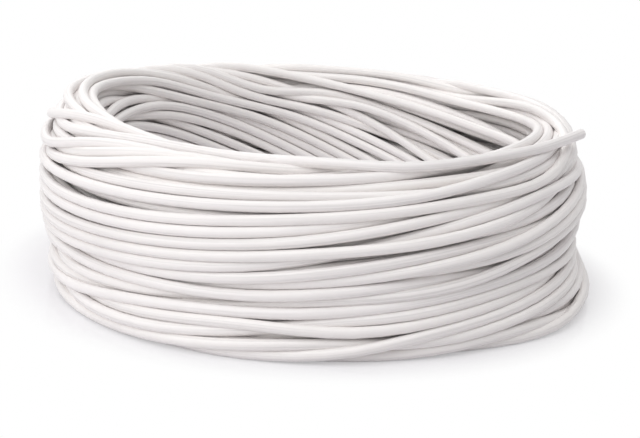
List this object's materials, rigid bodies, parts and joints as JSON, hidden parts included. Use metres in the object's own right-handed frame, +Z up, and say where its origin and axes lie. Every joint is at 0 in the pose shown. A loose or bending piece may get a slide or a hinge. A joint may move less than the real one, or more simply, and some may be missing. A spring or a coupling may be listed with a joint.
{
  "type": "coil of electrical cable",
  "caption": "Loose round coil of white insulated single-core electrical cable lying flat, its many turns untied and its cut outer end standing clear of the coil's shoulder.",
  "frame": {"origin": "on the surface that the coil lies on, on the coil's axis", "axes": "+Z up through the eye of the coil; -Y towards the side with the free outer end's exit, and +X towards its tip"},
  "size_m": [0.2041, 0.2042, 0.0618],
  "materials": {
    "white_pvc": "satin extruded",
    "copper": "fine drawn strands, cut square"
  },
  "bodies": {
    "root": {"coil": "white_pvc", "outer_end_insulation": "white_pvc", "outer_end_conductor": "copper"}
  },
  "joints": []
}
